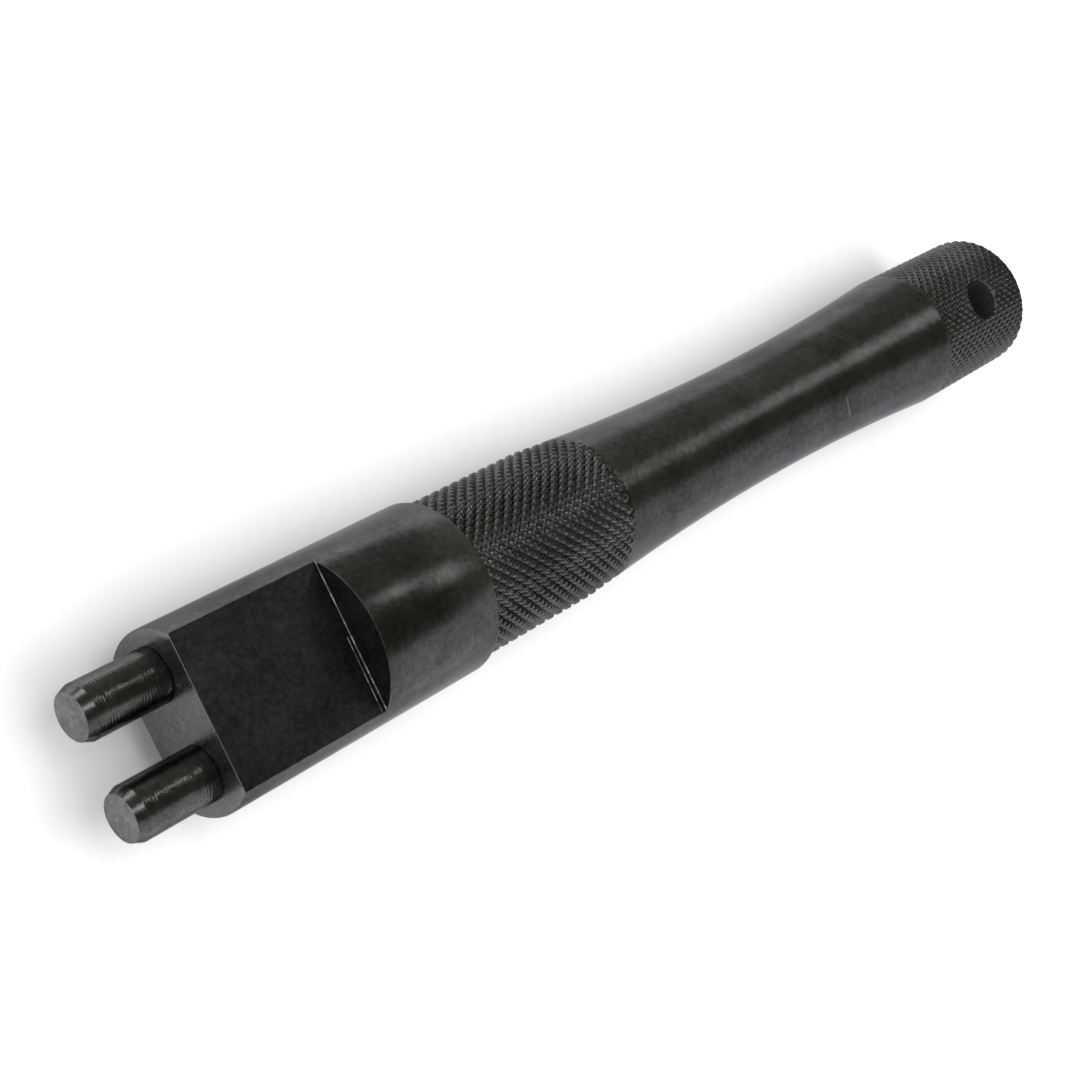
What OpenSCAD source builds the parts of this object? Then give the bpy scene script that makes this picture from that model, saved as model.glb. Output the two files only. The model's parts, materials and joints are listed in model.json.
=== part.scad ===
// Two-pin case back opener.
// One turned steel body carries a flatted head at the front and a waisted, knurled handle behind it.
// Two shouldered dowel pins are pressed into blind holes in the front face and turn the case back.
// The axis runs along X with the pins at the low end. The spanner flats face up and down.
// The origin is under the middle of the overall length, on the surface that the tool lies on.

/* [Head] */
// Diameter of the head
head_d = 20; // [20:0.5:24]
// Length of the head, from the front face back to the shoulder
head_len = 35.5; // [30:0.5:45]
// Distance across the two spanner flats
flat_af = 11; // [10:0.5:13]
// Length of the flats, measured from the front face
flat_len = 19; // [12:0.5:24]
// Chamfer on the rear shoulder of the head
shoulder_c = 0.5; // [0.2:0.1:0.8]
// Broken edge round the front face
front_c = 0.25; // [0.1:0.05:0.5]
// Diameter of the lathe centre mark in the front face
centre_d = 1.2; // [0.8:0.1:2]

/* [Drive pins] */
// Diameter of each drive pin
pin_d = 6; // [4:0.5:6]
// Distance between the two pin centres
pin_pitch = 10.5; // [9:0.5:11]
// How far the pins stand out of the front face
pin_reach = 9.8; // [6:0.1:14]
// How deep the pins are pressed into the head
pin_seat = 12.2; // [10:0.2:16]
// Length of the taper on each pin end
pin_taper_len = 1.1; // [0.6:0.1:1.5]
// How much the taper takes off the pin radius
pin_taper_r = 0.45; // [0.2:0.05:0.6]
// Diameter of the lathe centre mark in each pin end
pin_centre_d = 0.7; // [0.4:0.1:1]
// Chamfer on the pin shoulder that bears on the front face
pin_shoulder_c = 0.3; // [0.2:0.05:0.4]
// How much less the radius of the pressed shank is than that of the pin
pin_step = 0.5; // [0.5:0.1:0.8]

/* [Handle] */
// Diameter over the crests of the knurling
grip_d = 18.5; // [17:0.5:19]
// Length of the knurled band behind the head
front_band_len = 23; // [15:0.5:30]
// Length of the smooth waist between the two knurled bands
waist_len = 69.5; // [60:0.5:80]
// Smallest diameter of the waist
waist_d = 15.4; // [14:0.1:16]
// Distance from the front band to the narrowest place
waist_low = 33; // [28:0.5:36]
// Radius of the long curve that forms the waist
waist_r = 440; // [400:10:600]
// Length of the knurled band at the tail
tail_band_len = 20.3; // [18:0.1:26]
// Chamfer on the tail end
tail_c = 0.3; // [0.1:0.1:0.6]

/* [Cross hole] */
// Diameter of the hole through the tail
cross_d = 5.8; // [4:0.1:7]
// Distance from the tail end to the middle of the hole
cross_inset = 9.55; // [6:0.05:11]

/* [Hidden] */
handle_len = front_band_len + waist_len + tail_band_len;
body_len = head_len + handle_len;
front_x = (pin_reach - body_len) / 2;
axis_z = head_d / 2;
grip_r = grip_d / 2;
head_r = head_d / 2;
pin_r = pin_d / 2;
shank_r = pin_r - pin_step;
hole_depth = pin_seat + 0.3;
drill_cone = shank_r / tan(59);
steel = [0.13, 0.13, 0.135];
pin_steel = [0.30, 0.30, 0.31];

// Everything is drawn along +Z from the front face and then laid along +X.
module lay_down() {
    translate([front_x, 0, axis_z]) rotate([0, 90, 0]) children();
}

// Plain turned head with its broken front edge and chamfered shoulder.
module head_blank() {
    rotate_extrude($fn = 120)
        polygon([
            [0, 0],
            [head_r - front_c, 0],
            [head_r, front_c],
            [head_r, head_len - shoulder_c],
            [head_r - shoulder_c, head_len],
            [0, head_len]
        ]);
}

// Half section of the handle: two straight bands with a long hollow curve between them.
module handle_section() {
    difference() {
        polygon([
            [0, -1],
            [grip_r, -1],
            [grip_r, handle_len - tail_c],
            [grip_r - tail_c, handle_len],
            [0, handle_len]
        ]);
        intersection() {
            translate([waist_d / 2 + waist_r, front_band_len + waist_low]) circle(r = waist_r, $fn = 1440);
            translate([waist_d / 4, front_band_len]) square([grip_r, waist_len]);
        }
    }
}

module handle_blank() {
    translate([0, 0, head_len]) rotate_extrude($fn = 120) handle_section();
}

// The milling cutter clears this much on one side of the head.
module flat_cut() {
    translate([flat_af / 2, -head_d, -1]) cube([head_d, 2 * head_d, flat_len + 1]);
}

// Blind hole for a drive pin shank, with the cone that the drill leaves.
module pin_hole() {
    translate([0, 0, -1]) cylinder(h = hole_depth + 1, r = shank_r, $fn = 72);
    translate([0, 0, hole_depth]) cylinder(h = drill_cone, r1 = shank_r, r2 = 0, $fn = 72);
}

// Shallow cone left by a centre drill.
module centre_mark(d) {
    translate([0, 0, -0.01]) cylinder(h = d / 2 + 0.01, r1 = d / 2 + 0.01, r2 = 0, $fn = 48);
}

// Head and handle, turned from one bar.
module tool_body() {
    color(steel) lay_down() difference() {
        union() {
            head_blank();
            handle_blank();
        }
        flat_cut();
        mirror([1, 0, 0]) flat_cut();
        translate([0, pin_pitch / 2, 0]) pin_hole();
        translate([0, -pin_pitch / 2, 0]) pin_hole();
        centre_mark(centre_d);
        translate([-head_d, 0, body_len - cross_inset]) rotate([0, 90, 0])
            cylinder(h = 2 * head_d, r = cross_d / 2, $fn = 72);
    }
}

// Shouldered dowel pin with a tapered tip, a centre mark in it and a thinner shank for the blind hole.
module dowel() {
    total = pin_reach + pin_seat;
    small = pin_r - pin_taper_r;
    difference() {
        translate([0, 0, -pin_reach]) rotate_extrude($fn = 72)
            polygon([
                [0, 0],
                [small, 0],
                [pin_r, pin_taper_len],
                [pin_r, pin_reach - pin_shoulder_c],
                [pin_r - pin_shoulder_c, pin_reach],
                [shank_r, pin_reach],
                [shank_r, total - 0.5],
                [shank_r - 0.4, total],
                [0, total]
            ]);
        translate([0, 0, -pin_reach]) centre_mark(pin_centre_d);
    }
}

module drive_pin_left() {
    color(pin_steel) lay_down() translate([0, -pin_pitch / 2, 0]) dowel();
}

module drive_pin_right() {
    color(pin_steel) lay_down() translate([0, pin_pitch / 2, 0]) dowel();
}

tool_body();
drive_pin_left();
drive_pin_right();
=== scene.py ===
import json
import math

import bpy
from bpy.props import FloatProperty, FloatVectorProperty, IntProperty, PointerProperty
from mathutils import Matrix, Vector


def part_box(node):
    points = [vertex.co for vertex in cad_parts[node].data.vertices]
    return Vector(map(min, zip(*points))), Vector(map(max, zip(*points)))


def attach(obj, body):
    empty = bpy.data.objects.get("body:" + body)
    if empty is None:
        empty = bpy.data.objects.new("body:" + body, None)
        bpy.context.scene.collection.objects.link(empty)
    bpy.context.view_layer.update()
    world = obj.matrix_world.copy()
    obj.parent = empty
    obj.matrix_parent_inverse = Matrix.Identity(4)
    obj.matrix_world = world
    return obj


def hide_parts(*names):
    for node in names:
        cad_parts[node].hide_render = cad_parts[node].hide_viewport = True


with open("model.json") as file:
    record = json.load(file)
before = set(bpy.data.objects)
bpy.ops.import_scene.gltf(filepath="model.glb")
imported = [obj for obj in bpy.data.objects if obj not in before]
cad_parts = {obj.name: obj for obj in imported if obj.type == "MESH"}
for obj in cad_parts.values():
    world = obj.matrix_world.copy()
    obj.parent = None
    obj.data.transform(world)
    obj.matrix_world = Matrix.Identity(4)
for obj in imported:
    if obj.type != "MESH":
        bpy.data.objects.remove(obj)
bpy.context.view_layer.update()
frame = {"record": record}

bl_info = {
    "name": "Case Back Opener",
    "version": (1, 0, 0),
    "blender": (4, 5, 0),
    "location": "3D View > Sidebar > Opener",
    "description": "Models a two-pin case back opener with a flatted head and a knurled handle",
    "category": "Add Mesh",
}

MOUNTS = {m["name"]: m for m in frame["record"]["mounts"]}
BODY_LOW, BODY_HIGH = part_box("tool_body")
PIN_LOW, PIN_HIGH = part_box("drive_pin_right")
PIN_Y = (PIN_LOW.y + PIN_HIGH.y) / 2
FRONT_X = BODY_LOW.x
AXIS_Z = (BODY_LOW.z + BODY_HIGH.z) / 2
MM = 0.001

# Material slots of the body and of a pin
TURNED, MILLED, RUBBED, KNURLED, FACED, DRILLED = range(6)
SHANK, TAPER, TIP = range(3)

# Faces round the body, a pin, a pin's hole and the cross hole
BODY_FACES, PIN_FACES, DRILL_FACES, CROSS_FACES = 144, 96, 48, 96


def in_mm(metres):
    """Metres to the shop's millimetres."""
    return metres / MM


# ---------------------------------------------------------------- settings


class OpenerHead(bpy.types.PropertyGroup):
    """Sizes of the solid head at the pin end"""

    radius: FloatProperty(
        name="Radius", description="Radius of the turned head",
        default=(BODY_HIGH.y - BODY_LOW.y) / 2, unit="LENGTH")
    length: FloatProperty(
        name="Length", description="From the front face back to the shoulder",
        default=0.0355, unit="LENGTH")
    flat_half: FloatProperty(
        name="Flat height", description="From the axis out to each spanner flat",
        default=MOUNTS["spanner_flat_top"]["pos_m"][2] - AXIS_Z, unit="LENGTH")
    flat_length: FloatProperty(
        name="Flat length", description="From the front face back to the end of the flats",
        default=2 * (MOUNTS["spanner_flat_top"]["pos_m"][0] - FRONT_X), unit="LENGTH")
    edge: FloatProperty(
        name="Edge break", description="Width of the rubbed edges of the head",
        default=0.00008, unit="LENGTH")


class OpenerHandle(bpy.types.PropertyGroup):
    """Sizes of the handle behind the head"""

    grip_radius: FloatProperty(
        name="Grip radius", description="Radius over the crests of the knurling",
        default=0.00925, unit="LENGTH")
    band_end: FloatProperty(
        name="Front band end", description="From the front face to the end of the front knurling",
        default=0.0600, unit="LENGTH")
    tail_start: FloatProperty(
        name="Tail band start", description="From the front face to the start of the tail knurling",
        default=0.1280, unit="LENGTH")
    waist_radius: FloatProperty(
        name="Waist radius", description="Radius at the narrowest place of the waist",
        default=0.0077, unit="LENGTH")
    waist_place: FloatProperty(
        name="Waist place", description="From the front face to the narrowest place",
        default=0.0915, unit="LENGTH")
    waist_curve: FloatProperty(
        name="Waist curve", description="Radius of the long hollow curve",
        default=0.440, unit="LENGTH")
    length: FloatProperty(
        name="Overall length", description="From the front face to the tail end",
        default=BODY_HIGH.x - BODY_LOW.x, unit="LENGTH")


class OpenerKnurl(bpy.types.PropertyGroup):
    """Sizes of the diamond knurling"""

    pitch: FloatProperty(
        name="Pitch along", description="Distance between diamonds along the handle",
        default=0.00153, unit="LENGTH")
    teeth: IntProperty(
        name="Teeth round", description="Number of diamonds round the handle",
        default=40, min=12, max=80)
    front_crest: FloatProperty(
        name="Front crest", description="Share of the pitch left flat on the front band's diamonds",
        default=0.42, min=0.05, max=0.7, subtype="FACTOR")
    tail_crest: FloatProperty(
        name="Tail crest", description="Share of the pitch left flat on the tail band's diamonds",
        default=0.50, min=0.05, max=0.7, subtype="FACTOR")
    steepness: FloatProperty(
        name="Groove steepness", description="Depth of a groove against half its width",
        default=0.92, min=0.3, max=1.0, subtype="FACTOR")
    pit: FloatProperty(
        name="Pit", description="Extra depth where two grooves cross, as a share of the groove depth",
        default=0.35, min=0.0, max=1.0, subtype="FACTOR")


class OpenerPins(bpy.types.PropertyGroup):
    """Sizes of the two drive pins"""

    radius: FloatProperty(
        name="Radius", description="Radius of each drive pin",
        default=MOUNTS["drive_pin_right"]["dims"]["r_mm"] * MM, unit="LENGTH")
    taper_length: FloatProperty(
        name="Tip taper length", description="Length of the taper on the tip",
        default=0.0011, unit="LENGTH")
    taper_step: FloatProperty(
        name="Tip taper step", description="How much the taper takes off the radius",
        default=0.00045, unit="LENGTH")
    ripple: FloatProperty(
        name="Turning ripple", description="Pitch of the turning marks along the pin",
        default=0.00038, unit="LENGTH")


class OpenerFinish(bpy.types.PropertyGroup):
    """Colours of the metal and the floor"""

    blackened: FloatVectorProperty(
        name="Blackened steel", description="Colour of the oxide finish",
        subtype="COLOR", default=(0.112, 0.111, 0.112), min=0, max=1)
    rubbed: FloatVectorProperty(
        name="Rubbed steel", description="Colour where the oxide is worn away",
        subtype="COLOR", default=(0.62, 0.60, 0.57), min=0, max=1)
    pin_steel: FloatVectorProperty(
        name="Pin steel", description="Colour of the hardened pins",
        subtype="COLOR", default=(0.135, 0.134, 0.134), min=0, max=1)
    floor: FloatVectorProperty(
        name="Floor", description="Colour of the floor",
        subtype="COLOR", default=(0.86, 0.86, 0.86), min=0, max=1)


# ---------------------------------------------------------------- shop helpers


def tidy_up():
    """Leave edit mode with nothing selected."""
    if bpy.context.object and bpy.context.object.mode != "OBJECT":
        bpy.ops.object.mode_set(mode="OBJECT")
    bpy.ops.object.select_all(action="DESELECT")


def take(piece):
    """Make one object the only one selected."""
    tidy_up()
    piece.select_set(True)
    bpy.context.view_layer.objects.active = piece


def apply_modifier(piece, kind, **settings):
    """Add one modifier with its settings and apply it."""
    take(piece)
    modifier = piece.modifiers.new(kind.title(), kind)
    for key, value in settings.items():
        setattr(modifier, key, value)
    bpy.ops.object.modifier_apply(modifier=modifier.name)


def turned(name, outline, steps):
    """A lathe job: trace (x, radius) points in millimetres and spin them round X."""
    tidy_up()
    bpy.ops.mesh.primitive_plane_add(size=1)
    piece = bpy.context.object
    piece.name = piece.data.name = name
    bpy.ops.object.mode_set(mode="EDIT")
    bpy.ops.mesh.select_mode(type="VERT")
    bpy.ops.mesh.select_all(action="SELECT")
    bpy.ops.mesh.merge(type="CENTER")
    x, r = outline[0]
    bpy.ops.transform.translate(value=(x, 0, r))
    for next_x, next_r in outline[1:]:
        bpy.ops.mesh.extrude_vertices_move(
            TRANSFORM_OT_translate={"value": (next_x - x, 0, next_r - r)})
        x, r = next_x, next_r
    bpy.ops.mesh.select_all(action="SELECT")
    bpy.ops.mesh.spin(steps=steps, angle=math.tau, center=(0, 0, 0), axis=(1, 0, 0))
    bpy.ops.mesh.select_all(action="SELECT")
    bpy.ops.mesh.remove_doubles(threshold=0.0005)
    bpy.ops.mesh.normals_make_consistent(inside=False)
    bpy.ops.object.mode_set(mode="OBJECT")
    return piece


def pick_vertices(piece, test):
    """Select the vertices that pass a test on their place, for the next edit."""
    take(piece)
    bpy.ops.object.mode_set(mode="EDIT")
    bpy.ops.mesh.select_all(action="DESELECT")
    bpy.ops.object.mode_set(mode="OBJECT")
    for v in piece.data.vertices:
        v.select = test(v.co)
    bpy.ops.object.mode_set(mode="EDIT")
    bpy.ops.mesh.select_mode(type="VERT")


def paint_faces(piece, slot, test):
    """Give the faces that pass a test on centre and normal to a material slot."""
    for face in piece.data.polygons:
        if test(face.center, face.normal):
            face.material_index = slot


def cut_with(piece, tool):
    """Cut a piece with a tool, then throw the tool away."""
    apply_modifier(piece, "BOOLEAN", operation="DIFFERENCE", solver="EXACT", object=tool)
    take(tool)
    bpy.ops.object.delete()


def from_axis(co):
    """Distance of a place from the tool's axis, in the shop."""
    return math.hypot(co.y, co.z)


def edit_all(piece):
    """Open a piece in edit mode with all of it selected."""
    take(piece)
    bpy.ops.object.mode_set(mode="EDIT")
    bpy.ops.mesh.select_all(action="SELECT")


def move_along(piece, value):
    """Move a whole piece in the shop, in millimetres."""
    edit_all(piece)
    bpy.ops.transform.translate(value=value)
    bpy.ops.object.mode_set(mode="OBJECT")


def set_in_place(piece):
    """From shop millimetres on the X axis to metres in the shared frame."""
    edit_all(piece)
    bpy.ops.transform.resize(value=(MM, MM, MM), center_override=(0, 0, 0))
    bpy.ops.transform.translate(value=(FRONT_X, 0, AXIS_Z))
    bpy.ops.object.mode_set(mode="OBJECT")
    bpy.ops.object.transform_apply(location=True, rotation=True, scale=True)


# ---------------------------------------------------------------- materials


def new_material(name):
    """A material with one plain surface shader."""
    material = bpy.data.materials.new(name)
    material.use_nodes = True
    nodes = material.node_tree.nodes
    nodes.clear()
    out = nodes.new("ShaderNodeOutputMaterial")
    metal = nodes.new("ShaderNodeBsdfPrincipled")
    out.location, metal.location = (400, 0), (100, 0)
    material.node_tree.links.new(metal.outputs[0], out.inputs[0])
    return material, metal


def add_node(owner, kind, links=(), **settings):
    """Add a node to a material or a world.

    The links are (input, output socket) pairs, and the settings are plain values.
    """
    tree = owner.node_tree
    made = tree.nodes.new(kind)
    for key, value in settings.items():
        if key.startswith("in_"):
            name = key[3:]
            socket = int(name) if name.isdigit() else name.replace("_", " ")
            made.inputs[socket].default_value = value
        else:
            setattr(made, key, value)
    for socket, source in links:
        tree.links.new(source, made.inputs[socket])
    return made


def ramp(owner, source, stops):
    """A colour ramp; each stop is a place and a grey or a colour."""
    made = add_node(owner, "ShaderNodeValToRGB", [(0, source)])
    while len(made.color_ramp.elements) < len(stops):
        made.color_ramp.elements.new(0.5)
    for element, (place, value) in zip(made.color_ramp.elements, stops):
        element.position = place
        element.color = (value, value, value, 1) if isinstance(value, float) else (*value, 1)
    return made.outputs[0]


def mixed(owner, factor, first, second, mode="MIX"):
    """Mix two colours; any of the three values may come from a socket."""
    made = add_node(owner, "ShaderNodeMix", data_type="RGBA", blend_type=mode)
    for index, value in ((0, factor), (6, first), (7, second)):
        if isinstance(value, bpy.types.NodeSocket):
            owner.node_tree.links.new(value, made.inputs[index])
        elif isinstance(value, float):
            made.inputs[index].default_value = value
        else:
            made.inputs[index].default_value = (*value, 1)
    return made.outputs[2]


def toned(colour, factor):
    """A colour made lighter or darker by a factor."""
    return tuple(min(c * factor, 1) for c in colour)


def noise(material, where, scale, detail, roughness=0.55):
    return add_node(material, "ShaderNodeTexNoise", [("Vector", where)],
                    in_Scale=scale, in_Detail=detail, in_Roughness=roughness).outputs[0]


def stretched(material, scale):
    """Object coordinates, measured from the tool's axis and stretched by scale."""
    place = add_node(material, "ShaderNodeTexCoord").outputs["Object"]
    moved = add_node(material, "ShaderNodeVectorMath", [(0, place)], operation="SUBTRACT",
                     in_1=(0, 0, AXIS_Z))
    return add_node(material, "ShaderNodeVectorMath", [(0, moved.outputs[0])],
                    operation="MULTIPLY", in_1=scale).outputs[0]


def scaled(material, value, low, high):
    """Map 0..1 to low..high."""
    return add_node(material, "ShaderNodeMapRange", [(0, value)], in_3=low, in_4=high).outputs[0]


def bumped(material, height, strength, distance, under=None):
    """A bump from a height, laid over another bump where one is given."""
    links = [("Height", height)]
    if under:
        links.append(("Normal", under))
    return add_node(material, "ShaderNodeBump", links,
                    in_Strength=strength, in_Distance=distance).outputs[0]


def arc_mark(material, centre, radius, width, middle, reach):
    """A thin curved mark, where the skin of a ball meets the surface within reach of the middle."""
    place = add_node(material, "ShaderNodeTexCoord").outputs["Object"]
    out = add_node(material, "ShaderNodeVectorMath", [(0, place)], operation="DISTANCE", in_1=centre)
    near = add_node(material, "ShaderNodeVectorMath", [(0, place)], operation="DISTANCE", in_1=middle)
    off = add_node(material, "ShaderNodeMath", [(0, out.outputs[1])], operation="SUBTRACT", in_1=radius)
    off = add_node(material, "ShaderNodeMath", [(0, off.outputs[0])], operation="ABSOLUTE")
    line = add_node(material, "ShaderNodeMapRange", [(0, off.outputs[0])],
                    in_1=0.0, in_2=width, in_3=1.0, in_4=0.0)
    ends = add_node(material, "ShaderNodeMapRange", [(0, near.outputs[1])],
                    in_1=reach * 0.7, in_2=reach, in_3=1.0, in_4=0.0)
    return add_node(material, "ShaderNodeMath", [(0, line.outputs[0]), (1, ends.outputs[0])],
                    operation="MULTIPLY").outputs[0]


def steel(name, colour, roughness, marks, wear, rubbed,
          mottle=0.5, stain=None, stain_colour=None, metallic=1.0, rim=0.5):
    """Metal with drifting colour and sheen, fine grain, cutting marks and worn places.

    Each of the marks is a stretch, a detail, a strength and a depth. The rim is how much
    light the metal throws back at a low angle.
    """
    material, metal = new_material(name)
    link = material.node_tree.links.new
    place = stretched(material, (1, 1, 1))
    drift = noise(material, place, 160.0, 4.0, 0.6)
    cloud = noise(material, place, 1500.0, 3.0, 0.6)
    grain = noise(material, place, 6500.0, 2.0, 0.5)
    shade = add_node(material, "ShaderNodeMath", [(0, drift), (1, cloud)], operation="ADD")
    shade = add_node(material, "ShaderNodeMath", [(0, shade.outputs[0]), (1, grain)], operation="ADD")
    shade = add_node(material, "ShaderNodeMath", [(0, shade.outputs[0])], operation="DIVIDE", in_1=3.0)
    tone = ramp(material, shade.outputs[0], [
        (0.36, toned(colour, 1 - mottle)), (0.50, tuple(colour)), (0.64, toned(colour, 1 + mottle))])
    tone = mixed(material, wear(material), tone, rubbed)
    if stain is not None:
        tone = mixed(material, stain(material), tone, stain_colour)
    link(tone, metal.inputs["Base Color"])
    link(scaled(material, cloud, roughness - 0.07, roughness + 0.09), metal.inputs["Roughness"])
    metal.inputs["Metallic"].default_value = metallic
    metal.inputs["Specular Tint"].default_value = (rim, rim, rim * 1.04, 1.0)
    bump = bumped(material, grain, 0.35, 0.00002)
    for stretch, detail, strength, depth in marks:
        line = noise(material, stretched(material, stretch), 1.0, detail, 0.6)
        bump = bumped(material, line, strength, depth, bump)
    link(bump, metal.inputs["Normal"])
    return material


def light_specks(material):
    """Sparse small marks: 1 inside a mark and 0 elsewhere."""
    size = 0.012
    cells = add_node(material, "ShaderNodeTexVoronoi", [("Vector", stretched(material, (1, 1, 1)))],
                     in_Scale=300.0, in_Randomness=1.0)
    return ramp(material, cells.outputs["Distance"], [(0.0, 1.0), (size, 1.0), (size * 1.6, 0.0)])


def worn_patches(material):
    """Broken patches of bare metal: 1 where the finish is gone."""
    spots = noise(material, stretched(material, (1, 1, 1)), 900.0, 4.0, 0.7)
    return ramp(material, spots, [(0.46, 0.0), (0.58, 1.0)])


# ---------------------------------------------------------------- body


def waist_at(x, handle):
    """Radius of the hollow curve at a place along the tool, in millimetres."""
    curve = in_mm(handle.waist_curve)
    away = x - in_mm(handle.waist_place)
    return in_mm(handle.waist_radius) + curve - math.sqrt(curve * curve - away * away)


def groove_depth(crest, handle, knurl):
    """Depth of a groove that leaves this share of the pitch as crest."""
    round_pitch = math.tau * in_mm(handle.grip_radius) / knurl.teeth
    side = math.hypot(round_pitch, in_mm(knurl.pitch)) / 2
    return knurl.steepness * side * (1 - crest) / 2


def diamond_tile(depth, crest, pit):
    """A flat square tile with one diamond raised on it, deepest at its corners."""
    tidy_up()
    bpy.ops.mesh.primitive_plane_add(size=1)
    tile = bpy.context.object
    bpy.ops.object.mode_set(mode="EDIT")
    bpy.ops.mesh.select_mode(type="EDGE")
    bpy.ops.mesh.select_all(action="SELECT")
    bpy.ops.mesh.delete(type="ONLY_FACE")
    bpy.ops.mesh.select_all(action="SELECT")
    bpy.ops.mesh.subdivide(number_cuts=1)
    bpy.ops.mesh.edge_face_add()
    bpy.ops.mesh.select_mode(type="FACE")
    bpy.ops.mesh.flip_normals()
    bpy.ops.object.mode_set(mode="OBJECT")
    for v in tile.data.vertices:
        at_crossing = abs(v.co.x) > 0.4 and abs(v.co.y) > 0.4
        v.co.z = -depth * (1 + pit) if at_crossing else -depth
    bpy.ops.object.mode_set(mode="EDIT")
    bpy.ops.mesh.select_all(action="SELECT")
    wall = (1 - crest) / 2
    insets = (  # width, share of the depth left, rounding
        (0.72 * wall, 0.30, 0.14),
        (0.28 * wall, 0.0, 0.24),
        (0.22 * crest, 0.0, 0.0))
    for width, left, rounding in insets:
        bpy.ops.mesh.inset(thickness=width, depth=0, use_even_offset=True)
        bpy.ops.transform.resize(value=(1, 1, left), center_override=(0, 0, 0))
        bpy.ops.transform.tosphere(value=rounding)
    bpy.ops.object.mode_set(mode="OBJECT")
    return tile


def knurled_sleeve(name, start, end, handle, knurl, crest, limit):
    """One diamond, repeated flat and rolled into a tube, then cut to length.

    The limit gives the radius to leave at a place along the tool for a worked radius.
    """
    pitch = in_mm(knurl.pitch)
    round_pitch = math.tau * in_mm(handle.grip_radius) / knurl.teeth
    sleeve = diamond_tile(groove_depth(crest, handle, knurl), crest, knurl.pit)
    sleeve.name = sleeve.data.name = name
    edit_all(sleeve)
    bpy.ops.transform.rotate(value=math.radians(45), orient_axis="Z", center_override=(0, 0, 0))
    bpy.ops.transform.resize(
        value=(round_pitch / math.sqrt(2), pitch / math.sqrt(2), 1), center_override=(0, 0, 0))
    bpy.ops.transform.rotate(value=math.radians(-90), orient_axis="X", center_override=(0, 0, 0))
    bpy.ops.object.mode_set(mode="OBJECT")
    weld = 0.01
    rows = int((end - start) / pitch) + 3
    for count, offset in ((2, (round_pitch / 2, 0, pitch / 2)), (rows, (0, 0, pitch)),
                          (knurl.teeth, (round_pitch, 0, 0))):
        apply_modifier(sleeve, "ARRAY", count=count, use_relative_offset=False, use_constant_offset=True,
                       constant_offset_displace=offset, use_merge_vertices=True, merge_threshold=weld)
    apply_modifier(sleeve, "SIMPLE_DEFORM", deform_method="BEND", deform_axis="Z",
                   angle=math.tau * (knurl.teeth + 0.5) / knurl.teeth)
    edit_all(sleeve)
    bpy.ops.mesh.remove_doubles(threshold=weld)
    bpy.ops.transform.translate(value=(0, -in_mm(handle.grip_radius), start - pitch))
    bpy.ops.object.mode_set(mode="OBJECT")
    for v in sleeve.data.vertices:
        x, y, z = v.co.z, v.co.y, v.co.x
        worked = math.hypot(y, z)
        left = limit(x, worked)
        v.co = (x, y * left / worked, z * left / worked)
    edit_all(sleeve)
    for place, side in ((start, -1), (end, 1)):
        bpy.ops.mesh.select_all(action="SELECT")
        bpy.ops.mesh.bisect(plane_co=(place, 0, 0), plane_no=(side, 0, 0), clear_outer=True)
    bpy.ops.mesh.select_all(action="SELECT")
    bpy.ops.mesh.normals_make_consistent(inside=False)
    bpy.ops.object.mode_set(mode="OBJECT")
    return sleeve


def round_off_diamonds(body):
    """Shade the diamonds as rounded, sharp only at groove bottoms and between two finishes."""
    take(body)
    bpy.ops.object.mode_set(mode="EDIT")
    bpy.ops.mesh.select_mode(type="FACE")
    bpy.ops.mesh.select_all(action="DESELECT")
    body.active_material_index = KNURLED
    bpy.ops.object.material_slot_select()
    bpy.ops.mesh.mark_sharp(clear=True)
    bpy.ops.mesh.select_all(action="DESELECT")
    bpy.ops.mesh.select_mode(type="EDGE")
    bpy.ops.mesh.edges_select_sharp(sharpness=math.radians(70))
    bpy.ops.mesh.mark_sharp()
    bpy.ops.mesh.select_mode(type="VERT")
    bpy.ops.object.mode_set(mode="OBJECT")
    finishes = {}
    for face in body.data.polygons:
        for key in face.edge_keys:
            finishes.setdefault(key, set()).add(face.material_index)
    for edge in body.data.edges:
        if len(finishes[edge.key]) > 1:
            edge.use_edge_sharp = True


def square_rod(width, length, place, slant):
    """A thin square rod set on its corner, for cutting small chamfers and grooves along Y."""
    tidy_up()
    bpy.ops.mesh.primitive_cube_add(size=1)
    rod = bpy.context.object
    edit_all(rod)
    bpy.ops.transform.resize(value=(width, length, width))
    bpy.ops.transform.rotate(value=math.radians(45), orient_axis="Y", center_override=(0, 0, 0))
    bpy.ops.transform.rotate(value=math.radians(slant), orient_axis="Z", center_override=(0, 0, 0))
    bpy.ops.transform.translate(value=place)
    bpy.ops.object.mode_set(mode="OBJECT")
    return rod


def ease_edges(blank, head):
    """Round the long edges of the flats and the curved edges of their steps."""
    take(blank)
    r, half, length = in_mm(head.radius), in_mm(head.flat_half), in_mm(head.flat_length)
    near, long_edge = 0.01, 5.0

    def on_side(co):
        return abs(abs(co.z) - half) < near and from_axis(co) > r - near

    def on_step(co):
        return abs(co.x - length) < near and abs(co.z) > half - near and from_axis(co) > r - near

    places = blank.data.vertices
    for vertex in places:
        vertex.select = False
    for face in blank.data.polygons:
        face.select = False
    for edge in blank.data.edges:
        a, b = (places[i].co for i in edge.vertices)
        along_flat = on_side(a) and on_side(b) and abs(a.x - b.x) > long_edge
        edge.select = along_flat or (on_step(a) and on_step(b))
    bpy.ops.object.mode_set(mode="EDIT")
    bpy.ops.mesh.select_mode(type="EDGE")
    bpy.ops.mesh.bevel(offset=in_mm(head.edge) * 0.6, segments=2, clamp_overlap=False)
    bpy.ops.mesh.select_mode(type="VERT")
    bpy.ops.object.mode_set(mode="OBJECT")


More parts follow.
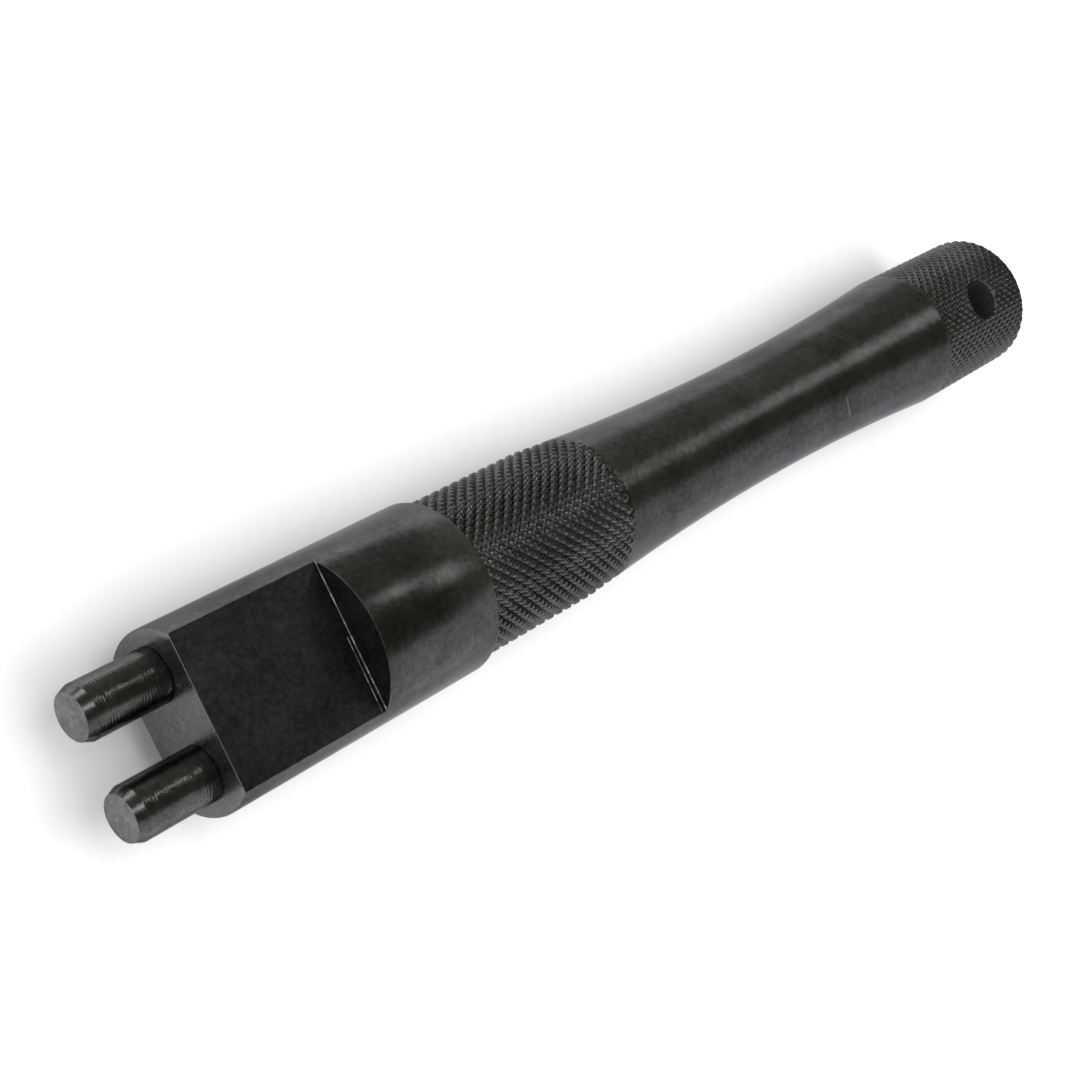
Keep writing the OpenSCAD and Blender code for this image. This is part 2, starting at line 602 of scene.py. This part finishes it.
def turned_head(head, handle):
    """The head blank with its flats milled, holes drilled and edges broken."""
    r, length = in_mm(head.radius), in_mm(head.length)
    half, flat_end, edge = in_mm(head.flat_half), in_mm(head.flat_length), in_mm(head.edge)
    neck = in_mm(handle.grip_radius) - 0.05
    centre_mark = [(0.3, 0.0), (0.02, 0.30), (0.0, 0.36)]
    ring = [(0.0, 1.0), (0.012, 1.06), (0.014, 1.16), (0.0, 1.24)]
    facing = [(0.012 * (i % 2), 1.6 + 0.4 * i) for i in range(20)]
    front_rim = [(0.0, r - 0.25), (0.06, r - 0.08), (0.25, r)]
    back_rim = [(length - 0.5, r), (length - 0.3, r - 0.08), (length - 0.08, r - 0.3), (length, r - 0.5)]
    back = [(length, neck), (length, 0.0)]
    outline = centre_mark + ring + facing + front_rim + back_rim + back
    blank = turned("tool_body_head", outline, BODY_FACES)
    block, across = 4 * r, 30.0  # both wider than the head
    for side in (-1, 1):
        tidy_up()
        bpy.ops.mesh.primitive_cube_add(
            size=block, location=(flat_end - block / 2, 0, side * (half + block / 2)))
        cut_with(blank, bpy.context.object)
        for place, width in ((0.0, edge), (flat_end, edge * 0.9)):
            cut_with(blank, square_rod(width, across, (place, 0, side * half), 0.0))
    ease_edges(blank, head)
    bore, depth, point = 2.5, 12.5, 14.0
    for side in (-1, 1):
        drill = turned("drill", [(-2.0, 0.0), (-2.0, bore), (depth, bore), (point, 0.0)], DRILL_FACES)
        move_along(drill, (0, side * in_mm(PIN_Y), 0))
        cut_with(blank, drill)
    return blank


def scribe_line(front, head):
    """A fine line scribed across part of the upper flat, close to its step."""
    width, length, slant = 0.06, 8.2, 0.8
    from_step, from_middle = 0.55, -4.0
    place = (in_mm(head.flat_length) - from_step, from_middle, in_mm(head.flat_half))
    cut_with(front, square_rod(width, length, place, slant))


def waist_scratch(material):
    """A short curved scratch low on the waist."""
    return arc_mark(material, centre=(0.04003, -0.00119, 0.01443), radius=0.00577, width=0.00012,
                    middle=(0.03568, -0.00425, 0.01667), reach=0.0020)


def body_materials(finish):
    """The body's finishes, in the order of its material slots."""
    black, rubbed = tuple(finish.blackened), tuple(finish.rubbed)
    turned_black = steel(
        "turned_black", black, 0.21,
        [((9000, 160, 160), 2.0, 0.5, 0.00002), ((2600, 60, 60), 2.0, 0.4, 0.00003)],
        light_specks, rubbed, stain=waist_scratch, stain_colour=toned(black, 2.2))
    milled_black = steel(
        "milled_black", toned(black, 0.74), 0.37,
        [((3800, 500, 500), 3.0, 0.35, 0.00002)], light_specks, rubbed, mottle=0.6)
    edge_rubbed = steel(
        "edge_rubbed", toned(black, 1.6), 0.42,
        [((2500, 2500, 2500), 2.0, 0.3, 0.00001)], worn_patches, rubbed)
    knurled_black = steel(
        "knurled_black", toned(black, 1.05), 0.20,
        [((3000, 3000, 3000), 2.0, 0.4, 0.00002)], light_specks, rubbed)
    # The faced ends are a real facing cut, but their colour is the blackened steel lifted 1.42 times, a
    # painted reflection of a brighter floor in front of them.
    faced_black = steel(
        "faced_black", toned(black, 1.42), 0.26,
        [((600, 600, 600), 2.0, 0.08, 0.00001)], light_specks, rubbed, mottle=0.2)
    drilled_dull = steel(
        "drilled_dull", toned(black, 1.2), 0.45,
        [((300, 300, 5000), 2.0, 0.4, 0.00002)], light_specks, rubbed, metallic=0.85)
    return turned_black, milled_black, edge_rubbed, knurled_black, faced_black, drilled_dull


def cross_drill(hole, grip):
    """The drill for the cross hole, with a countersink at each end of it."""
    bore, sink, over = hole["dims"]["r_mm"], 0.4, 1.2
    half = [(grip + over, 0.0), (grip + over, bore + sink + over), (grip - sink, bore)]
    drill = turned("drill", [(-x, r) for x, r in half] + half[::-1], CROSS_FACES)
    edit_all(drill)
    bpy.ops.transform.rotate(value=math.radians(90), orient_axis="Y", center_override=(0, 0, 0))
    bpy.ops.transform.translate(value=(in_mm(hole["pos_m"][0] - FRONT_X), 0, 0))
    bpy.ops.object.mode_set(mode="OBJECT")
    return drill


def close_gap(body, low, high):
    """Bridge the two open rims that face each other between two places along the tool."""
    edit_all(body)
    bpy.ops.mesh.select_mode(type="EDGE")
    bpy.ops.mesh.select_non_manifold(extend=False, use_wire=False, use_multi_face=False,
                                     use_non_contiguous=False, use_verts=False)
    bpy.ops.object.mode_set(mode="OBJECT")
    places = body.data.vertices
    for edge in body.data.edges:
        if edge.select:
            edge.select = all(low < places[i].co.x < high for i in edge.vertices)
    bpy.ops.object.mode_set(mode="EDIT")
    bpy.ops.mesh.select_mode(type="EDGE")
    bpy.ops.mesh.bridge_edge_loops()
    bpy.ops.object.mode_set(mode="OBJECT")


def paint_body(body, head, hole):
    """Give each place on the body the finish its last cut left, in metres in the shared frame."""
    near, edge, skin = 0.00005, 0.0001, 0.00002
    mark_depth, mark_radius = 0.0004, 0.00034
    bore, sink = hole["dims"]["r_mm"] * MM, 0.0008
    step = FRONT_X + head.flat_length

    def off_flat(c):
        return abs(abs(c.z - AXIS_Z) - head.flat_half)

    def from_hole(c):
        return math.hypot(c.x - hole["pos_m"][0], c.y - hole["pos_m"][1])

    def on_flat(c, n):
        return abs(n.z) > 0.999 and c.x < step and off_flat(c) < near

    def on_step(c, n):
        return n.x < -0.999 and abs(c.x - step) < near

    def on_broken_edge(c, n):
        at_end = c.x < FRONT_X + 2 * edge or step - 0.001 < c.x < step + edge
        return off_flat(c) < edge and abs(n.x) > 0.5 and abs(n.z) > 0.5 and at_end

    # The front face takes the faced finish, lightened there as painted reflection.
    def on_front(c, n):
        return c.x < FRONT_X + near and n.x < -0.7

    def in_centre_mark(c, n):
        return c.x < FRONT_X + mark_depth and math.hypot(c.y, c.z - AXIS_Z) < mark_radius

    def in_bore(c, n):
        return abs(n.z) < 0.1 and from_hole(c) < bore + skin

    def on_sink_ends(c, n):
        slopes = abs(abs(n.z) - math.sqrt(0.5)) < 0.01
        lengthwise = abs(c.x - hole["pos_m"][0]) > abs(c.y - hole["pos_m"][1])
        return slopes and lengthwise and -edge < from_hole(c) - bore < sink

    for slot, test in ((MILLED, on_flat), (MILLED, on_step), (RUBBED, on_broken_edge), (FACED, on_front),
                       (DRILLED, in_centre_mark), (DRILLED, in_bore), (DRILLED, on_sink_ends)):
        paint_faces(body, slot, test)


class OPENER_OT_body(bpy.types.Operator):
    """Make the one-piece body: head, knurled bands, waist and cross hole"""

    bl_idname = "opener.make_body"
    bl_label = "Make Body"

    def execute(self, context):
        scene = context.scene
        head, handle, knurl = scene.opener_head, scene.opener_handle, scene.opener_knurl
        shoulder, band_end = in_mm(head.length), in_mm(handle.band_end)
        tail_start, tail_end = in_mm(handle.tail_start), in_mm(handle.length)
        grip = in_mm(handle.grip_radius)
        run_out = 0.9  # length over which the knurling fades into the waist
        gap = 0.3  # left between a band and the waist, and then bridged
        near = 0.01
        tail_drop, tail_slope, tail_edge = 0.05, 0.9, 0.25

        front = turned_head(head, handle)
        front.data.materials.clear()
        scribe_line(front, head)
        pick_vertices(front, lambda co: co.x > shoulder - 0.001 and from_axis(co) < grip - 0.1)
        bpy.ops.mesh.delete(type="VERT")
        bpy.ops.object.mode_set(mode="OBJECT")

        def band_limit(x, r):
            crest = min(grip, waist_at(x, handle))
            return crest - (grip - r) * min(max((band_end - x) / run_out, 0.0), 1.0)

        def tail_limit(x, r):
            plain = min(waist_at(min(x, tail_start), handle), grip)
            worked = plain + (r - plain) * min(max((x - tail_start) / run_out, 0.0), 1.0)
            broken_edge = grip - tail_drop - tail_slope * max(0.0, x - (tail_end - tail_edge))
            return min(worked, broken_edge)

        band = knurled_sleeve("band", shoulder, band_end, handle, knurl, knurl.front_crest, band_limit)
        tail = knurled_sleeve("tail", tail_start, tail_end, handle, knurl, knurl.tail_crest, tail_limit)
        steps = 80
        first, last = band_end + gap, tail_start - gap
        places = [first + (last - first) * i / steps for i in range(steps + 1)]
        waist = turned("waist", [(x, waist_at(x, handle)) for x in places], BODY_FACES)
        root = grip - groove_depth(knurl.tail_crest, handle, knurl)
        facing = [(tail_end - 0.01 * (i % 2), 8.0 - 0.4 * i) for i in range(20)]
        end_cap = turned("end_cap", [(tail_end, root - 0.6), *facing, (tail_end, 0.0)], BODY_FACES)

        parts = (front, band, waist, tail, end_cap)
        materials = body_materials(scene.opener_finish)
        tidy_up()
        # The end cap takes the faced finish too, lightened as painted reflection.
        for part, slot in zip(parts, (TURNED, KNURLED, TURNED, KNURLED, FACED)):
            for material in materials:
                part.data.materials.append(material)
            part.data.polygons.foreach_set("material_index", [slot] * len(part.data.polygons))
            part.select_set(True)
        context.view_layer.objects.active = front
        bpy.ops.object.join()
        body = context.object
        body.name = body.data.name = "opener_body"
        close_gap(body, shoulder - near, shoulder + near)
        close_gap(body, band_end - near, first + near)
        close_gap(body, last - near, tail_start + near)
        close_gap(body, tail_end - 2 * near, tail_end + near)
        edit_all(body)
        bpy.ops.mesh.normals_make_consistent(inside=False)
        bpy.ops.object.mode_set(mode="OBJECT")

        hole = MOUNTS["cross_hole"]
        cut_with(body, cross_drill(hole, grip))
        set_in_place(body)
        paint_body(body, head, hole)
        take(body)
        bpy.ops.object.shade_smooth_by_angle(angle=math.radians(38))
        round_off_diamonds(body)
        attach(body, "root")
        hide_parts("tool_body")
        return {"FINISHED"}


# ---------------------------------------------------------------- pins


def brass_fleck(material):
    """A smear of brass on the inner side of one pin, beside its shoulder."""
    return arc_mark(material, centre=(FRONT_X - 0.00222, PIN_Y - 0.00106, AXIS_Z + 0.00304),
                    radius=0.0020, width=0.0002,
                    middle=(FRONT_X - 0.00066, PIN_Y - 0.0020, AXIS_Z + 0.00222), reach=0.0006)


def rust_dots(material):
    """A brown dot in the centre mark of each tip."""
    spots = None
    for side in (-1, 1):
        middle = (PIN_LOW.x, side * PIN_Y, AXIS_Z)
        spot = arc_mark(material, middle, radius=0.0, width=0.0004, middle=middle, reach=0.0004)
        if spots is not None:
            spot = add_node(material, "ShaderNodeMath", [(0, spots), (1, spot)],
                            operation="ADD").outputs[0]
        spots = spot
    return spots


def pin_materials(finish):
    """A pin's finishes, in the order of its material slots."""
    colour, rubbed = tuple(finish.pin_steel), tuple(finish.rubbed)
    ground = steel(
        "pin_ground", colour, 0.205,
        [((7000, 120, 120), 2.0, 0.5, 0.00002)], light_specks, rubbed,
        stain=brass_fleck, stain_colour=(0.95, 0.60, 0.25), rim=0.42)
    taper = steel(
        "pin_taper", toned(colour, 0.88), 0.22,
        [((3000, 3000, 3000), 2.0, 0.3, 0.00001)], light_specks, rubbed, rim=0.42)
    tip = steel(
        "pin_tip", toned(colour, 1.12), 0.24,
        [((1600, 1600, 1600), 3.0, 0.4, 0.00002)], light_specks, rubbed, mottle=0.6,
        stain=rust_dots, stain_colour=(0.20, 0.13, 0.09))
    return ground, taper, tip


def pin_outline(pins):
    """Half the section of a pin, from the middle of its tip to the end of its hidden shank."""
    r, taper = in_mm(pins.radius), in_mm(pins.taper_length)
    small, shank = r - in_mm(pins.taper_step), r - 0.5
    tip, end = in_mm(PIN_LOW.x - FRONT_X), in_mm(PIN_HIGH.x - FRONT_X)
    outline = [(tip + 0.14, 0.0), (tip + 0.10, 0.14), (tip + 0.015, 0.27), (tip, 0.31)]
    outline += [(tip + 0.006 * (i % 2), 0.5 + 0.2 * i) for i in range(10)]
    outline += [(tip, small - 0.06), (tip + 0.04, small)]
    outline += [(tip + taper - 0.05, r - 0.03), (tip + taper + 0.03, r - 0.004)]
    x, quarter, count = tip + taper + 0.12, in_mm(pins.ripple) / 4, 0
    while x < -0.42:
        wave = 0.008 * math.cos(math.pi * count / 2)
        uneven = 0.0035 * math.sin(1.7 * count)
        outline.append((x, r - 0.012 - wave - uneven))
        x += quarter
        count += 1
    outline += [(-0.12, r - 0.003), (-0.10, r - 0.02), (-0.02, r - 0.09), (0.0, r - 0.10)]
    outline += [(0.0, shank), (end - 0.5, shank), (end, r - 0.9), (end, 0.0)]
    return outline


class OPENER_OT_pins(bpy.types.Operator):
    """Make the two shouldered drive pins"""

    bl_idname = "opener.make_pins"
    bl_label = "Make Drive Pins"

    def execute(self, context):
        pins = context.scene.opener_pins
        outline = pin_outline(pins)
        materials = pin_materials(context.scene.opener_finish)
        tip_end, taper_start = PIN_LOW.x + 0.0002, PIN_LOW.x + 0.0001
        taper_end = PIN_LOW.x + pins.taper_length
        for side, name in ((-1, "drive_pin_left"), (1, "drive_pin_right")):
            pin = turned(name + "_steel", outline, PIN_FACES)
            move_along(pin, (0, side * in_mm(PIN_Y), 0))
            set_in_place(pin)
            for material in materials:
                pin.data.materials.append(material)
            paint_faces(pin, SHANK, lambda c, n: True)
            paint_faces(pin, TAPER, lambda c, n: taper_start < c.x < taper_end and n.x < -0.1)
            paint_faces(pin, TIP, lambda c, n: c.x < tip_end and n.x < -0.8)
            take(pin)
            bpy.ops.object.shade_smooth_by_angle(angle=math.radians(14))
            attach(pin, "root")
            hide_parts(name)
        return {"FINISHED"}


# ---------------------------------------------------------------- stage


class OpenerStage(bpy.types.PropertyGroup):
    """Camera and light"""

    camera_place: FloatVectorProperty(
        name="Camera", description="Where the camera stands",
        subtype="XYZ", unit="LENGTH", default=(-0.171319, 0.011554, 0.179756))
    camera_turn: FloatVectorProperty(
        name="Camera turn", description="Which way the camera looks",
        size=4, subtype="QUATERNION", default=(0.90688662, 0.05513824, -0.35783169, -0.21557578))
    lens: FloatProperty(
        name="Lens", description="Focal length of the camera", default=67.69, unit="CAMERA")
    room_light: FloatProperty(
        name="Room light", description="Strength of the pale walls", default=1.0, min=0.0)
    room_dark: FloatProperty(
        name="Room dark", description="Strength of the dim side of the room", default=0.068, min=0.0)
    lamp: FloatProperty(
        name="Lamp", description="Power of the small lamp", default=0.34, unit="POWER")
    fill: FloatProperty(
        name="Fill", description="Power of the soft fill on the far side", default=0.25, unit="POWER")
    overhead: FloatProperty(
        name="Overhead", description="Power of the soft overhead light", default=8.6, unit="POWER")


def make_room(stage):
    """A pale table side, a dim ceiling and walls that get lighter toward the far end."""
    room = bpy.data.worlds.new("studio_room")
    room.use_nodes = True
    room.node_tree.nodes.clear()

    def shades(source, reach, stops):
        """Light from -reach to reach; each stop is a place, a brightness and a share of blue."""
        dial = add_node(room, "ShaderNodeMapRange", [(0, source)],
                        in_From_Min=-reach, in_From_Max=reach)
        return ramp(room, dial.outputs[0], [
            ((place + reach) / (2 * reach), (value, value, value * blue))
            for place, value, blue in stops])

    way = add_node(room, "ShaderNodeTexCoord").outputs["Generated"]
    split = add_node(room, "ShaderNodeSeparateXYZ", [(0, way)])
    turn = add_node(room, "ShaderNodeMath", [(0, split.outputs["Y"]), (1, split.outputs["Z"])],
                    operation="ARCTAN2")
    angle = add_node(room, "ShaderNodeMath", [(0, turn.outputs[0])], operation="DEGREES").outputs[0]
    light, dark = stage.room_light, stage.room_dark
    table = shades(angle, 180, [(-180, light, 1.0), (-90, light * 0.85, 1.0), (-50, light * 0.6, 1.0)])
    walls = shades(angle, 180, [
        (-90, dark, 0.8), (-8, dark * 0.95, 0.8), (15, dark * 1.2, 0.82), (50, dark * 1.7, 0.85),
        (92, dark * 2.8, 0.9), (116, dark * 4.2, 0.95), (140, dark * 5.5, 1.0)])
    along = shades(split.outputs["X"], 1, [
        (-0.95, 12.0, 1.2), (-0.7, 10.0, 1.2), (-0.5, 2.0, 1.1), (0.0, 1.4, 1.0), (0.50, 1.5, 1.0),
        (0.58, 0.9, 1.0), (0.66, 1.3, 1.0), (0.72, 2.0, 1.0), (0.80, 2.7, 1.0)])
    edge = shades(angle, 180, [(-45, 1.0, 1.0), (-37, 0.0, 1.0)])
    lit = mixed(room, edge, mixed(room, 1.0, walls, along, "MULTIPLY"), table)
    glow = add_node(room, "ShaderNodeBackground", [(0, lit)])
    add_node(room, "ShaderNodeOutputWorld", [(0, glow.outputs[0])])
    bpy.context.scene.world = room


def add_lamp(name, place, aim, size, power):
    """An oval lamp at a place, turned to what it lights."""
    data = bpy.data.lights.new(name, "AREA")
    data.shape = "ELLIPSE"
    data.size, data.size_y = size
    data.energy = power
    lamp = bpy.data.objects.new(name, data)
    bpy.context.collection.objects.link(lamp)
    lamp.location = place
    lamp.rotation_euler = (Vector(aim) - Vector(place)).to_track_quat("-Z", "Y").to_euler()
    return lamp


class OPENER_OT_stage(bpy.types.Operator):
    """Lay the floor, hang the lights and set up the camera"""

    bl_idname = "opener.make_stage"
    bl_label = "Make Stage"

    def execute(self, context):
        scene = context.scene
        stage = scene.opener_stage
        tidy_up()
        bpy.ops.mesh.primitive_plane_add(size=1)
        floor = context.object
        floor.name = floor.data.name = "studio_floor"
        edit_all(floor)
        bpy.ops.transform.resize(value=(3, 3, 1))
        bpy.ops.mesh.subdivide(number_cuts=3)
        bpy.ops.object.mode_set(mode="OBJECT")
        material, paint = new_material("floor_paint")
        patches = noise(material, add_node(material, "ShaderNodeTexCoord").outputs["Object"], 3.0, 3.0)
        colour = tuple(scene.opener_finish.floor)
        material.node_tree.links.new(
            ramp(material, patches, [(0.3, toned(colour, 0.985)), (0.7, colour)]),
            paint.inputs["Base Color"])
        paint.inputs["Roughness"].default_value = 0.8
        floor.data.materials.append(material)

        make_room(stage)
        middle, away = Vector((0.0, 0.0, AXIS_Z)), 1.2
        lamps = (  # name, way from the tool, size, share of the lamp power
            ("window_lamp", (0.71, 0.155, 0.69), (0.36, 0.14), 1.0),
            ("side_lamp", (0.42, 0.31, 0.85), (0.24, 0.08), 0.7),
            ("ceiling_lamp", (-0.12, 0.92, 0.38), (0.42, 0.42), 3.0),
            ("top_lamp", (-0.26, 0.15, 0.95), (0.30, 0.30), 2.2))
        for name, way, size, share in lamps:
            add_lamp(name, middle + Vector(way).normalized() * away, middle, size, stage.lamp * share)
        soft = add_lamp("overhead_soft", (0.0, -0.2, 0.8), (0, 0, 0), (1.0, 1.0), stage.overhead)
        soft.visible_glossy = False
        fill = add_lamp("far_side_fill", (0.0, 0.20, 0.26), (0, 0.02, 0), (0.2, 0.2), stage.fill)
        fill.visible_glossy = False

        eye = bpy.data.cameras.new("studio_camera")
        eye.lens = stage.lens
        eye.sensor_width = 36.0
        eye.clip_start = 0.01
        eye.clip_end = 20.0
        camera = bpy.data.objects.new("studio_camera", eye)
        context.collection.objects.link(camera)
        camera.location = stage.camera_place
        camera.rotation_mode = "QUATERNION"
        camera.rotation_quaternion = stage.camera_turn
        scene.camera = camera
        scene.view_settings.view_transform = "Standard"
        return {"FINISHED"}


# ---------------------------------------------------------------- panel


class OPENER_PT_panel(bpy.types.Panel):
    """Sidebar panel with the build steps and the sizes"""

    bl_label = "Case Back Opener"
    bl_idname = "OPENER_PT_panel"
    bl_space_type = "VIEW_3D"
    bl_region_type = "UI"
    bl_category = "Opener"

    def draw(self, context):
        for operator in (OPENER_OT_body, OPENER_OT_pins, OPENER_OT_stage):
            self.layout.operator(operator.bl_idname)
        for name in SETTINGS:
            box = self.layout.box()
            box.label(text=name.replace("opener_", "").title())
            group = getattr(context.scene, name)
            for key in group.__annotations__:
                box.prop(group, key)


SETTINGS = {
    "opener_head": OpenerHead,
    "opener_handle": OpenerHandle,
    "opener_knurl": OpenerKnurl,
    "opener_pins": OpenerPins,
    "opener_finish": OpenerFinish,
    "opener_stage": OpenerStage,
}
CLASSES = (*SETTINGS.values(), OPENER_OT_body, OPENER_OT_pins, OPENER_OT_stage, OPENER_PT_panel)


def register():
    for cls in CLASSES:
        bpy.utils.register_class(cls)
    for name, group in SETTINGS.items():
        setattr(bpy.types.Scene, name, PointerProperty(type=group))


def unregister():
    for name in SETTINGS:
        delattr(bpy.types.Scene, name)
    for cls in reversed(CLASSES):
        bpy.utils.unregister_class(cls)


def main():
    register()
    bpy.ops.opener.make_body()
    bpy.ops.opener.make_pins()
    bpy.ops.opener.make_stage()


if __name__ == "__main__":
    main()
